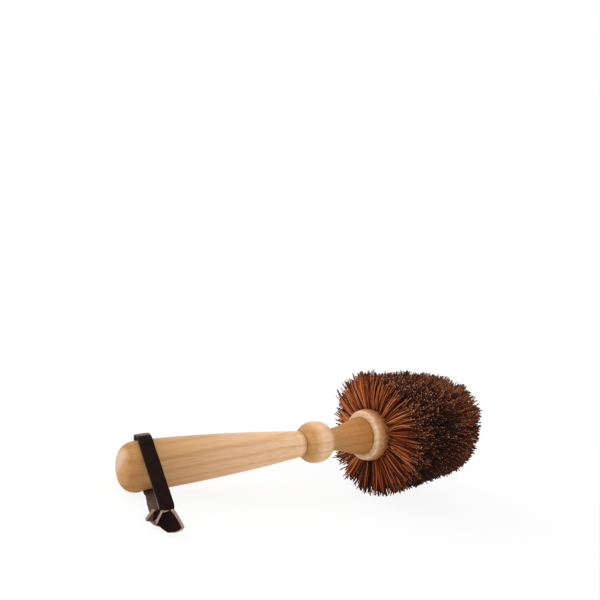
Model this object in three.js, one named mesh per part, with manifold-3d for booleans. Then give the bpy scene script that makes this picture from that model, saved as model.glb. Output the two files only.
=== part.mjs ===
// A flowerpot brush: a turned wooden handle with a ball behind its neck, a round wooden
// block full of stiff plant fibre, and a flat leather thong knotted through the grip.
// Millimetres, +Z up. The brush lies at rest with the grip and the fibres on z = 0, and
// its head points along +X. A station is a distance along the brush's axis from the butt.

import * as THREE from 'three';
import { mergeVertices } from 'three/addons/utils/BufferGeometryUtils.js';
import loadManifold from 'manifold-3d';

const wasm = await loadManifold();
wasm.setup();

// Clearance between pieces that touch on the real brush.
const GAP = 0.3;
const TURNED_SIDES = 32;

// Handle: butt, grip, ball, flared neck and the tenon that goes into the block.
const GRIP_RADIUS = 14;
const BUTT_START = 0.7;
const BUTT_LENGTH = 12;
const BUTT_POWER = 2.9;
const TAPER_START = 22;
const TAPER_MIDDLE_RADIUS = 12.95;
const GRIP_END = 121.7;
const GRIP_END_RADIUS = 8.1;
const GROOVE_RADIUS = 6.4;
const BALL_STATION = 133.6;
const BALL_RADIUS = 13.4;
const BALL_HALF_LENGTH = 12;
const BALL_POWER = 2.3;
const NECK_RADIUS = 7.1;
const JOINT_STATION = 174.1;
const JOINT_RADIUS = 12.9;
const TENON_RADIUS = 7;
const TENON_LENGTH = 24;

// Thong hole, across the grip. Its axis leans back from the vertical.
const HOLE_STATION = 15.5;
const HOLE_RADIUS = 4.5;
const HOLE_LEAN = THREE.MathUtils.degToRad(30);

// Block: collar, spindle and the drilled skin that holds the fibre.
const COLLAR_FACE_RADIUS = 16;
const COLLAR_RADIUS = 17.6;
const COLLAR_END = 181.2;
const SPINDLE_RADIUS = 14;
const SKIN_RADIUS = 17.2;
const SPINDLE_END = 240;
const DOME_HEIGHT = 6.7;

// Fibre head: its outline, and the rows of tufts, counted from the collar.
const HEAD_BACK = 183;
const HEAD_BACK_RADIUS = 42.2;
const HEAD_FRONT = 240;
const HEAD_FRONT_RADIUS = 38.2;
const HEAD_END = 274.5;
const HEAD_POWER = 2.2;
const HEAD_RISE = 2;
const FIRST_ROW = 184.8;
const ROW_PITCH = 7.4;
const ROW_COUNT = 8;
const TUFTS_PER_ROW = 16;
const FIRST_ROW_TIP = 184;
const LAST_ROW_TIP = 249;
const STRANDS_PER_TUFT = 3;
const STRAND_RADIUS = 0.95;
const STRAND_TIP_RADIUS = 0.7;
const TUFT_RADIUS = 1.5;
const TUFT_TIP_RADIUS = 3.4;
const STRAND_ROOT_DEPTH = 1.6;

// The flat that the fibres make where the head lies on them.
const REST_FLAT = 0.5;
const REST_STATION = 184;

// Thong: a flat strap. The loop lies in one plane, with the hole along the plane's y. Its
// upper strand goes over the grip, and its lower strand leaves the hole close to the floor.
const STRAP_WIDTH = 7.5;
const STRAP_THICKNESS = 1.6;
const LOOP_SWING = THREE.MathUtils.degToRad(-12);
const LOOP_RADIUS = 17.7;
const UPPER_END = new THREE.Vector2(36, -29);
const LOWER_END = new THREE.Vector2(28, -27.5);
const KNOT_MIDDLE = new THREE.Vector2(35, -29);
const KNOT_SIZE = new THREE.Vector3(7.5, 6.5, 5.2);
const KNOT_REST_FLAT = 0.6;
const TAIL_LENGTH = 9.5;

const v2 = (x, y) => new THREE.Vector2(x, y);
const v3 = (x, y, z) => new THREE.Vector3(x, y, z);

// Materials.
const handleWood = new THREE.MeshStandardMaterial({ color: 0xd9ac78, roughness: 0.55, metalness: 0 });
const blockWood = new THREE.MeshStandardMaterial({ color: 0xe0bd92, roughness: 0.6, metalness: 0 });
const fibre = new THREE.MeshStandardMaterial({ color: 0x5b3a26, roughness: 0.8, metalness: 0 });
const leather = new THREE.MeshStandardMaterial({ color: 0x2a211d, roughness: 0.7, metalness: 0 });

// A closed three.js geometry as a solid for adding and subtracting.
function toSolid(geometry) {
  const bare = geometry.clone();
  bare.deleteAttribute('normal');
  bare.deleteAttribute('uv');
  const welded = mergeVertices(bare, 1e-4);
  const index = welded.index.array;
  const corners = [];
  for (let i = 0; i < index.length; i += 3) {
    const triangle = index.slice(i, i + 3);
    if (new Set(triangle).size === 3) corners.push(...triangle);
  }
  return new wasm.Manifold(new wasm.Mesh({
    numProp: 3,
    vertProperties: new Float32Array(welded.attributes.position.array),
    triVerts: new Uint32Array(corners),
  }));
}

function toGeometry(solid) {
  const mesh = solid.getMesh();
  const geometry = new THREE.BufferGeometry();
  geometry.setAttribute('position', new THREE.BufferAttribute(mesh.vertProperties, 3));
  geometry.setIndex(new THREE.BufferAttribute(mesh.triVerts, 1));
  geometry.computeVertexNormals();
  return geometry;
}

function namedMesh(name, geometry, material) {
  const mesh = new THREE.Mesh(geometry, material);
  mesh.name = name;
  return mesh;
}

// A profile of (radius, station) points turned about the brush's axis, which is X.
function turned(profile, sides = TURNED_SIDES) {
  return new THREE.LatheGeometry(profile, sides).rotateZ(-Math.PI / 2);
}

// One coordinate of a superellipse of half-size 1, from the other.
function swell(across, power) {
  return Math.max(0, 1 - Math.abs(across) ** power) ** (1 / power);
}

// Handle.
function buttProfile() {
  const profile = [v2(0, BUTT_START)];
  for (let i = 1; i <= 9; i += 1) {
    const along = 1 - Math.cos((i / 9) * (Math.PI / 2));
    profile.push(v2(GRIP_RADIUS * swell(1 - along, BUTT_POWER), BUTT_START + BUTT_LENGTH * along));
  }
  return profile;
}

// The tilt and the butt's height at which the butt and the fibres both touch the floor.
function restOnFloor() {
  const head = v2(HEAD_BACK_RADIUS - REST_FLAT, REST_STATION);
  let touch = v2(GRIP_RADIUS, BUTT_LENGTH);
  let tilt = 0;
  for (let i = 0; i < 6; i += 1) {
    tilt = Math.atan((head.x - touch.x) / (head.y - touch.y));
    const down = v2(Math.cos(tilt), -Math.sin(tilt));
    touch = buttProfile().reduce((low, point) => (point.dot(down) > low.dot(down) ? point : low));
  }
  return { tilt, height: touch.x * Math.cos(tilt) - touch.y * Math.sin(tilt) };
}

const REST = restOnFloor();

function handleProfile() {
  const profile = buttProfile();
  const taper = new THREE.QuadraticBezierCurve(
    v2(GRIP_RADIUS, TAPER_START),
    v2(TAPER_MIDDLE_RADIUS, (TAPER_START + GRIP_END) / 2),
    v2(GRIP_END_RADIUS, GRIP_END),
  );
  profile.push(...taper.getPoints(8));
  const ballEdge = BALL_HALF_LENGTH * swell(GROOVE_RADIUS / BALL_RADIUS, BALL_POWER);
  const neckEdge = BALL_HALF_LENGTH * swell(NECK_RADIUS / BALL_RADIUS, BALL_POWER);
  profile.push(v2(GROOVE_RADIUS, GRIP_END + GAP));
  for (let i = 0; i <= 14; i += 1) {
    const turn = Math.PI * (0.1 + 0.8 * (i / 14));
    const full = -Math.cos(turn) / Math.cos(Math.PI * 0.1);
    const along = full < 0 ? full * ballEdge : full * neckEdge;
    profile.push(v2(BALL_RADIUS * swell(along / BALL_HALF_LENGTH, BALL_POWER), BALL_STATION + along));
  }
  const neckStart = BALL_STATION + neckEdge;
  const flare = new THREE.CubicBezierCurve(
    v2(NECK_RADIUS, neckStart + GAP),
    v2(NECK_RADIUS + 0.9, neckStart + 16.7),
    v2(JOINT_RADIUS - 0.5, JOINT_STATION - 10),
    v2(JOINT_RADIUS, JOINT_STATION),
  );
  profile.push(...flare.getPoints(10));
  profile.push(v2(TENON_RADIUS, JOINT_STATION));
  profile.push(v2(TENON_RADIUS, JOINT_STATION + TENON_LENGTH));
  profile.push(v2(0, JOINT_STATION + TENON_LENGTH));
  return profile;
}

// Directions at the hole: along it, and square to it on the side of the loop.
const HOLE_UP = v3(0, Math.sin(HOLE_LEAN), Math.cos(HOLE_LEAN));
const HOLE_OUT = v3(0, -Math.cos(HOLE_LEAN), Math.sin(HOLE_LEAN));

function makeHandle() {
  const hole = new THREE.CylinderGeometry(HOLE_RADIUS, HOLE_RADIUS, 4 * GRIP_RADIUS, 28);
  hole.applyQuaternion(new THREE.Quaternion().setFromUnitVectors(v3(0, 1, 0), HOLE_UP));
  hole.translate(HOLE_STATION, 0, 0);
  const solid = toSolid(turned(handleProfile())).subtract(toSolid(hole));
  return namedMesh('handle', toGeometry(solid), handleWood);
}

// Block: the collar, its blind socket for the tenon and the spindle under the skin.
function makeBlock() {
  const face = JOINT_STATION + GAP;
  const socketEnd = JOINT_STATION + TENON_LENGTH + GAP;
  const shoulder = new THREE.QuadraticBezierCurve(
    v2(COLLAR_FACE_RADIUS, face),
    v2(COLLAR_RADIUS - 0.6, face + 0.4),
    v2(COLLAR_RADIUS, COLLAR_END - 1),
  );
  const profile = [
    v2(0, socketEnd),
    v2(TENON_RADIUS + GAP, socketEnd),
    v2(TENON_RADIUS + GAP, face),
    ...shoulder.getPoints(5),
    v2(COLLAR_RADIUS, COLLAR_END),
    v2(SPINDLE_RADIUS, COLLAR_END),
    v2(SPINDLE_RADIUS, SPINDLE_END),
    v2(0, SPINDLE_END),
  ];
  return namedMesh('brush_block', toGeometry(toSolid(turned(profile))), blockWood);
}

// Radius of the fibre head's outline at a station: a gentle taper, then a blunt round end.
function headRadius(station) {
  if (station < HEAD_FRONT) {
    const front = Math.max(0, (station - HEAD_BACK) / (HEAD_FRONT - HEAD_BACK));
    return HEAD_BACK_RADIUS + (HEAD_FRONT_RADIUS - HEAD_BACK_RADIUS) * front;
  }
  const front = Math.min(1, (station - HEAD_FRONT) / (HEAD_END - HEAD_FRONT));
  return HEAD_FRONT_RADIUS * swell(front, HEAD_POWER);
}

// How far the outline is lifted at a station, because the lower fibres carry the head.
function headRise(station) {
  return HEAD_RISE * Math.max(0, (station - HEAD_BACK) / (HEAD_END - HEAD_BACK));
}

// Length of a straight strand from its root to the head's outline.
function lengthToOutline(root, direction) {
  let inside = 0;
  let outside = HEAD_END;
  for (let i = 0; i < 40; i += 1) {
    const middle = (inside + outside) / 2;
    const point = root.clone().addScaledVector(direction, middle);
    const fromMiddle = Math.hypot(point.y, point.z - headRise(point.x));
    const isInside = point.x < HEAD_END && fromMiddle < headRadius(point.x);
    if (isInside) inside = middle;
    else outside = middle;
  }
  return inside;
}

// One strand: a three-sided tapered rod from a root below the skin to the outline.
function strand(root, direction) {
  const length = lengthToOutline(root, direction);
  const rod = new THREE.CylinderGeometry(STRAND_TIP_RADIUS, STRAND_RADIUS, length, 3, 1);
  rod.translate(0, length / 2, 0);
  rod.applyQuaternion(new THREE.Quaternion().setFromUnitVectors(v3(0, 1, 0), direction));
  rod.translate(root.x, root.y, root.z);
  return toSolid(rod);
}

// A tuft: strands that leave one hole in a small ring and spread towards their tips.
function tuft(centre, direction, twist) {
  const side = v3(1, 0, 0).addScaledVector(direction, -direction.x);
  if (side.length() < 0.01) side.set(0, 1, 0);
  side.normalize();
  const reach = lengthToOutline(centre, direction);
  const strands = [];
  for (let i = 0; i < STRANDS_PER_TUFT; i += 1) {
    const turn = twist + (i / STRANDS_PER_TUFT) * 2 * Math.PI;
    const offset = side.clone().applyAxisAngle(direction, turn);
    const root = centre.clone().addScaledVector(offset, TUFT_RADIUS);
    const tip = centre.clone().addScaledVector(direction, reach).addScaledVector(offset, TUFT_TIP_RADIUS);
    strands.push(strand(root, tip.sub(root).normalize()));
  }
  return strands;
}

// The tufts of one row round the block, leaning forward row by row.
function rowOfTufts(row) {
  const station = FIRST_ROW + row * ROW_PITCH;
  const tipStation = FIRST_ROW_TIP + (LAST_ROW_TIP - FIRST_ROW_TIP) * (row / (ROW_COUNT - 1));
  const rootRadius = SKIN_RADIUS - STRAND_ROOT_DEPTH;
  const strands = [];
  for (let i = 0; i < TUFTS_PER_ROW; i += 1) {
    const around = ((i + 0.5 * (row % 2)) / TUFTS_PER_ROW) * 2 * Math.PI;
    const outward = v3(0, Math.cos(around), Math.sin(around));
    const centre = outward.clone().multiplyScalar(rootRadius).setX(station);
    const tip = outward.clone().multiplyScalar(headRadius(tipStation)).setX(tipStation);
    tip.z += headRise(tipStation);
    strands.push(...tuft(centre, tip.sub(centre).normalize(), row + i));
  }
  return strands;
}

// The tufts on the domed end: rings of fewer tufts at steeper angles, and one in the middle.
const END_RINGS = [
  { tufts: 10, rootRadius: 12.4, tipRadius: 28.5 },
  { tufts: 5, rootRadius: 6.2, tipRadius: 14.5 },
  { tufts: 1, rootRadius: 0, tipRadius: 0 },
];

function endTufts() {
  const strands = [];
  END_RINGS.forEach((ring, order) => {
    for (let i = 0; i < ring.tufts; i += 1) {
      const around = ((i + 0.5 * order) / ring.tufts) * 2 * Math.PI;
      const outward = v3(0, Math.cos(around), Math.sin(around));
      const rise = DOME_HEIGHT * swell(ring.rootRadius / SKIN_RADIUS, 2) - STRAND_ROOT_DEPTH;
      const centre = outward.clone().multiplyScalar(ring.rootRadius).setX(SPINDLE_END + GAP + rise);
      const depth = swell(ring.tipRadius / HEAD_FRONT_RADIUS, HEAD_POWER);
      const tipStation = HEAD_FRONT + (HEAD_END - HEAD_FRONT) * depth;
      const tip = outward.clone().multiplyScalar(ring.tipRadius).setX(tipStation);
      tip.z += headRise(tipStation);
      strands.push(...tuft(centre, tip.sub(centre).normalize(), order + i));
    }
  });
  return strands;
}

// Strands joined to their slice of the block's skin and cut flat where the head lies.
function fibreMesh(name, skin, strands) {
  const joined = wasm.Manifold.union([toSolid(skin), ...strands]);
  const floor = [Math.sin(REST.tilt), 0, Math.cos(REST.tilt)];
  const cut = joined.trimByPlane(floor, -REST.height).asOriginal().simplify(0.002);
  return namedMesh(name, toGeometry(cut), fibre);
}

function skinSleeve(start, end) {
  return turned([
    v2(SPINDLE_RADIUS + GAP, start),
    v2(SKIN_RADIUS, start),
    v2(SKIN_RADIUS, end),
    v2(SPINDLE_RADIUS + GAP, end),
    v2(SPINDLE_RADIUS + GAP, start),
  ], 32);
}

function skinDome() {
  const base = SPINDLE_END + GAP;
  const profile = [v2(0, base), v2(SKIN_RADIUS, base)];
  for (let i = 1; i <= 6; i += 1) {
    const angle = (i / 6) * (Math.PI / 2);
    profile.push(v2(i < 6 ? SKIN_RADIUS * Math.cos(angle) : 0, base + DOME_HEIGHT * Math.sin(angle)));
  }
  return turned(profile, 32);
}

const FIBRE_BANDS = [
  { name: 'fibre_rows_at_collar', rows: [0, 1, 2] },
  { name: 'fibre_rows_in_middle', rows: [3, 4, 5] },
  { name: 'fibre_rows_at_front', rows: [6, 7] },
];

function makeFibre() {
  const bands = FIBRE_BANDS.map(({ name, rows }, order) => {
    const first = FIRST_ROW + (rows[0] - 0.5) * ROW_PITCH;
    const last = FIRST_ROW + (rows[rows.length - 1] + 0.5) * ROW_PITCH;
    const start = order === 0 ? COLLAR_END + GAP : first + GAP;
    const end = order === FIBRE_BANDS.length - 1 ? SPINDLE_END : last;
    return fibreMesh(name, skinSleeve(start, end), rows.flatMap(rowOfTufts));
  });
  return [...bands, fibreMesh('fibre_at_end', skinDome(), endTufts())];
}

// Thong loop: the strap's middle line in the loop's plane, from the knot over the grip,
// through the hole and back to the knot.
function loopLine() {
  const lean = Math.acos(LOOP_RADIUS / UPPER_END.length());
  const leave = Math.atan2(UPPER_END.y, UPPER_END.x) + lean;
  const fold = THREE.MathUtils.degToRad(80);
  const line = new THREE.Path();
  line.moveTo(UPPER_END.x, UPPER_END.y);
  line.lineTo(LOOP_RADIUS * Math.cos(leave), LOOP_RADIUS * Math.sin(leave));
  line.absarc(0, 0, LOOP_RADIUS, leave, fold, false);
  line.bezierCurveTo(1.4, LOOP_RADIUS + 0.1, 0, LOOP_RADIUS - 0.4, 0, GRIP_RADIUS);
  line.lineTo(0, 3 - GRIP_RADIUS);
  line.bezierCurveTo(0, 0.4 - GRIP_RADIUS, 1.4, -1 - GRIP_RADIUS, 4.6, -1.9 - GRIP_RADIUS);
  line.lineTo(LOWER_END.x, LOWER_END.y);
  return line;
}

// The outline of a strap of even thickness, seen edge on.
function strapOutline(line) {
  const points = line.getPoints(9).filter((point, i, all) => i === 0 || point.distanceTo(all[i - 1]) > 0.05);
  const left = [];
  const right = [];
  points.forEach((point, i) => {
    const before = points[Math.max(0, i - 1)];
    const after = points[Math.min(points.length - 1, i + 1)];
    const along = after.clone().sub(before).normalize();
    const across = v2(-along.y, along.x).multiplyScalar(STRAP_THICKNESS / 2);
    left.push(point.clone().add(across));
    right.push(point.clone().sub(across));
  });
  return new THREE.Shape([...left, ...right.reverse()]);
}

// Knot: a rounded lump with two short strap ends, on the floor. grow widens it all round.
const TAILS = [
  { turn: THREE.MathUtils.degToRad(-53), roll: 0.6, lift: 0.05 },
  { turn: THREE.MathUtils.degToRad(-175), roll: -0.6, lift: 0.05 },
];

function knotSolid(grow) {
  const lump = new THREE.SphereGeometry(1, 18, 12);
  lump.scale(KNOT_SIZE.x + grow, KNOT_SIZE.y + grow, KNOT_SIZE.z + grow);
  const tails = TAILS.map(({ turn, roll, lift }) => {
    const tail = new THREE.BoxGeometry(TAIL_LENGTH, STRAP_WIDTH, STRAP_THICKNESS);
    tail.translate(KNOT_SIZE.y / 2 + TAIL_LENGTH / 2, 0, 0);
    tail.rotateX(roll);
    tail.rotateY(lift);
    tail.rotateZ(turn);
    return toSolid(tail);
  });
  return wasm.Manifold.union([toSolid(lump), ...tails]);
}

// Assembly: the brush tilted to its rest, and the thong in the plane of its loop.
const brush = new THREE.Group();
brush.rotation.y = -REST.tilt;
brush.position.z = REST.height;
brush.add(makeHandle(), makeBlock(), ...makeFibre());
brush.updateMatrixWorld(true);

const bounds = new THREE.Box3().setFromObject(brush, true);
const middle = bounds.getCenter(v3(0, 0, 0));
brush.position.sub(v3(middle.x, middle.y, bounds.min.z));

const loopOut = HOLE_OUT.clone().multiplyScalar(Math.cos(LOOP_SWING)).setX(Math.sin(LOOP_SWING));
const loopFrame = new THREE.Matrix4().makeBasis(loopOut, HOLE_UP, loopOut.clone().cross(HOLE_UP));
const loop = new THREE.Group();
loop.position.set(HOLE_STATION, 0, 0);
loop.quaternion.setFromRotationMatrix(loopFrame);
brush.add(loop);

const knot = new THREE.Group();
const group = new THREE.Group();
group.add(brush, knot);
group.updateMatrixWorld(true);
knot.position.copy(loop.localToWorld(v3(KNOT_MIDDLE.x, KNOT_MIDDLE.y, 0)));
knot.position.z = KNOT_SIZE.z - KNOT_REST_FLAT;
knot.updateMatrixWorld(true);

const strap = new THREE.ExtrudeGeometry(strapOutline(loopLine()), { depth: STRAP_WIDTH, bevelEnabled: false });
strap.translate(0, 0, -STRAP_WIDTH / 2);
const knotInLoop = loop.matrixWorld.clone().invert().multiply(knot.matrixWorld);
const strapSolid = toSolid(strap).subtract(toSolid(toGeometry(knotSolid(GAP)).applyMatrix4(knotInLoop)));
loop.add(namedMesh('thong_loop', toGeometry(strapSolid), leather));

const knotOnFloor = knotSolid(0).trimByPlane([0, 0, 1], -knot.position.z);
knot.add(namedMesh('thong_knot', toGeometry(knotOnFloor), leather));

export default group;
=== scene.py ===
import math
import random

import bmesh
import bpy
import numpy as np
from mathutils import Matrix, Vector


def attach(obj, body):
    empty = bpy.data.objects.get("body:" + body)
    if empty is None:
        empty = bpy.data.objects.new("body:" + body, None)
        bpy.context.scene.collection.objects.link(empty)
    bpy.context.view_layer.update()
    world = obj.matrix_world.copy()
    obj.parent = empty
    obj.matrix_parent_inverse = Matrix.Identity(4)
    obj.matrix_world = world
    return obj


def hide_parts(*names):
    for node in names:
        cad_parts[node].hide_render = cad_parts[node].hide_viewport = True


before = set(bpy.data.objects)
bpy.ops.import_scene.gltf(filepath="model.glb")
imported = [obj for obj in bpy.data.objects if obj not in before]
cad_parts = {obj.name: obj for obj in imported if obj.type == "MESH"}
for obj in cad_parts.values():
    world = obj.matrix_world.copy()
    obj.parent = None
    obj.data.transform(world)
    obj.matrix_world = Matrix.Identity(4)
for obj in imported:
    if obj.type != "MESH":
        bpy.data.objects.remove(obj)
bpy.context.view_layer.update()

# Shapes are worked in millimetres in the brush's own frame: X along the handle from the
# butt, Z up in the plane in which the brush is tilted. TO_ROW puts them where they lie.
MM = 0.001
TILT = math.radians(9.0436298)
BUTT = Vector((-135.7865, 0.0291, 12.2593)) * MM
TO_ROW = Matrix.Translation(BUTT) @ Matrix.Rotation(-TILT, 4, "Y") @ Matrix.Scale(MM, 4)
GAP = 0.3

# Camera: its place, and where its right side and its back point.
CAMERA_PLACE = Vector((-0.304780, -0.337859, 0.144370))
CAMERA_RIGHT = Vector((0.77521, -0.58116, 0.24760))
CAMERA_BACK = Vector((-0.60966, -0.79093, 0.05234))
CAMERA_LENS = 42.0
CAMERA_SENSOR = 36.0

# Handle.
GRIP_RADIUS = 14.0
BUTT_START = 0.7
BUTT_LENGTH = 12.0
BUTT_POWER = 2.9
TAPER_START = 22.0
TAPER_MIDDLE_RADIUS = 12.95
GRIP_END = 121.7
GRIP_END_RADIUS = 8.1
GROOVE_RADIUS = 6.4
BALL_STATION = 133.6
BALL_RADIUS = 13.4
BALL_HALF_LENGTH = 12.0
BALL_POWER = 2.3
NECK_RADIUS = 7.1
JOINT_STATION = 174.1
JOINT_RADIUS = 12.9
TENON_RADIUS = 7.0
TENON_LENGTH = 24.0
HOLE_STATION = 15.5
HOLE_RADIUS = 4.5
HOLE_LEAN = math.radians(30)
# The hole's mouths: how far from its middle, and how much wider than the hole.
HOLE_MOUTH = [(11.6, 0.0), (12.4, 0.15), (13.2, 0.5), (13.9, 1.1), (15.5, 2.0)]
HOLE_BIT_END = 16
NECK_STRAIGHT = 16.7
NECK_SWELL = 0.9
FLARE_LENGTH = 10
FLARE_DROP = 0.5
BUTT_STEPS = 24
GRIP_STEPS = 40
BALL_STEPS = 40
BALL_START_TURN = 0.1
NECK_STEPS = 30
HANDLE_EDGE = 0.5
SHARP_CORNER = math.radians(28)
CORNER_SHARE = 0.45
CORNER_STEPS = 4
HANDLE_SIDES = 96
BLOCK_SIDES = 80
HOLE_SIDES = 48

# Block.
COLLAR_FACE_RADIUS = 16.0
COLLAR_RADIUS = 17.6
COLLAR_END = 181.2
SKIN_RADIUS = 17.2
SPINDLE_END = 240.0
DOME_HEIGHT = 6.7
DOME_STEPS = 12
COLLAR_STEPS = 14
BLOCK_EDGE = 0.45

# Fibre head.
HEAD_BACK = 183.0
HEAD_BACK_RADIUS = 42.2
HEAD_FRONT = 240.0
HEAD_FRONT_RADIUS = 38.2
HEAD_END = 274.5
HEAD_POWER = 2.2
HEAD_RISE = 2.0
FIRST_ROW = 184.8
ROW_PITCH = 7.4
ROW_COUNT = 8
TUFTS_PER_ROW = 16
FIRST_ROW_TIP = 184.0
LAST_ROW_TIP = 249.0
ROOT_DEPTH = 1.6
FIBRES_PER_TUFT = 84
FIBRE_RADIUS = 0.43
FIBRE_RINGS = 4
FIBRE_SIDES = 4
THINNEST_FIBRE = 0.72
THICKEST_FIBRE = 1.18
TIP_TAPER = 0.86
FIBRE_LOWEST = 0.0003
LONGEST_FIBRE = 110.0

# How the fibres of a tuft spread from its root, and how unevenly they are cut.
TUFT_RADIUS = 2.3
FAN_ALONG = 5.0
FAN_ALONG_AT_FRONT = 8.0
FAN_AROUND = 6.8
STRAY = 1.7
WILD_STRAY = 4.2
WILD_SHARE = 0.12
FIBRE_BEND = 0.9
TUFT_CUT = 0.5
FIBRE_CUT = 0.7
SHORTEST_CUT = 4.5

# The first rows lean toward the front, on the near and on the far side.
NEAR_LEAN = 6.0
FAR_LEAN = 5.5
FAR_LEAN_POWER = 4
LEANING_ROWS = 3

# Tones from 0, dark, to 1, pale, for each row from the collar to the front.
# The row tones hold painted light: the first row paler as if lit from the left, the middle rows
# darker as painted shade.
ROW_TONES = (0.49, 0.37, 0.18, 0.13, 0.13, 0.22, 0.38, 0.48)
# Painted light: how much paler each row's tufts are on top.
ROW_PALE_TOPS = (0.00, 0.24, 0.56, 0.60, 0.60, 0.60, 0.60, 0.60)
# Painted shade: how strongly each row's tips are darkened.
ROW_DARK_TIPS = (0.3, 0.6, 1.0, 1.0, 1.0, 0.9, 0.8, 0.7)
# Painted light on the tops from this height up, and on the far side.
PALE_TOP_START = 0.3
PALE_FAR_SIDE = 0.38
# Painted shade under the first rows, and painted light under the rest.
DARK_UNDER_ROWS = (0, 1, 2, 3)
DARK_UNDER = 0.08
PALE_UNDER = 0.12
# Painted shade: more tip darkening on the far side and on top.
FAR_DARK_TIPS = 0.6
TOP_DARK_TIPS = 0.3
DARKEST_TUFT = 0.08
PALEST_TUFT = 0.85
TUFT_TONE_SPREAD = 0.04
TONE_SPREAD = 1.4

# Where the cut shape of the head bulges or dips: toward what, how far, and the cosine
# at which it starts.
HEAD_DENTS = [
    (Vector((0.71, -0.43, 0.55)), 1.8, 0.85),
    (Vector((0.36, -0.10, 0.93)), -2.5, 0.90),
    (Vector((0.00, 0.44, -0.90)), -2.2, 0.90),
]

# The fibre map: tone runs across it and length up it, with the cut ends above the rest.
FIBRE_MAP = "OFBake"
MAP_TONES = 0.96
MAP_FIRST_TONE = 0.01
MAP_SIDE_STEP = 0.006
MAP_ROOT = 0.004
# How far up the map a fibre's tip reaches, further for tips with more painted shade.
MAP_PALE_TIP = 0.80
MAP_DARK_TIP = 0.16
MAP_CUT_END = 0.980
MAP_CUT_STEP = 0.008

# Thong. Its loop is worked as out from the hole, up along it and across the strap.
STRAP_WIDTH = 7.5
STRAP_THICKNESS = 1.6
LOOP_SWING = math.radians(-12)
LOOP_RADIUS = 17.7
FOLD_HEIGHT = 16.2
UPPER_END = Vector((36.0, -29.0, -1.6))
LOWER_END = Vector((28.0, -27.5, 2.2))
STRAP_GRID = 6
STRAP_HOLLOW = 0.16
STRAP_CORNER = 0.22
EDGE_WAVE = 0.012
EDGE_RIPPLE = 0.010
WIDER_OUTSIDE = 0.09
NARROWER_IN_HOLE = 0.05
KNOT_THICKNESS = 1.5
KNOT_LOWEST = 0.0002

HOLE_UP = Vector((0, math.sin(HOLE_LEAN), math.cos(HOLE_LEAN)))
HOLE_OUT = Vector((0, -math.cos(HOLE_LEAN), math.sin(HOLE_LEAN)))
LOOP_OUT = HOLE_OUT * math.cos(LOOP_SWING) + Vector((math.sin(LOOP_SWING), 0, 0))
LOOP_ACROSS = LOOP_OUT.cross(HOLE_UP)

chance = random.Random(7)


def swell(across, power):
    """One coordinate of a superellipse of half-size 1, from the other."""
    return max(0.0, 1 - abs(across) ** power) ** (1 / power)


def bezier(points, count):
    """count steps along a Bezier curve, its start left out."""
    made = []
    for step in range(1, count + 1):
        line = [Vector(point) for point in points]
        while len(line) > 1:
            line = [a.lerp(b, step / count) for a, b in zip(line, line[1:])]
        made.append(line[0])
    return made


def link(name, mesh, materials):
    """A finished piece in the scene, at the origin."""
    piece = bpy.data.objects.new(name, mesh)
    bpy.context.scene.collection.objects.link(piece)
    for material in materials:
        mesh.materials.append(material)
    return piece


def evaluated_mesh(piece):
    """The piece's mesh with its modifiers, or a curve's surface, as a mesh of its own."""
    bpy.context.view_layer.update()
    seen = piece.evaluated_get(bpy.context.evaluated_depsgraph_get())
    return bpy.data.meshes.new_from_object(seen)


def smooth(mesh, angle):
    """Smooth shading that stays crisp over edges sharper than the angle."""
    mesh.polygons.foreach_set("use_smooth", [True] * len(mesh.polygons))
    mesh.set_sharp_from_angle(angle=math.radians(angle))


# Finishes.
def shade(red, green, blue):
    """A screen colour from 0 to 255 as linear light."""
    def linear(value):
        value = value / 255
        return value / 12.92 if value <= 0.04045 else ((value + 0.055) / 1.055) ** 2.4
    return (linear(red), linear(green), linear(blue), 1.0)


class Wire:
    """A shader value. Arithmetic on it adds Math nodes to its finish."""

    def __init__(self, finish, socket):
        self.finish = finish
        self.socket = socket

    def math(self, operation, first, second):
        return self.finish.node("ShaderNodeMath", {"operation": operation}, {0: first, 1: second})

    def __add__(self, other):
        return self.math("ADD", self, other)

    def __radd__(self, other):
        return self.math("ADD", other, self)

    def __rsub__(self, other):
        return self.math("SUBTRACT", other, self)

    def __mul__(self, other):
        return self.math("MULTIPLY", self, other)

    def __rmul__(self, other):
        return self.math("MULTIPLY", other, self)


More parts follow.
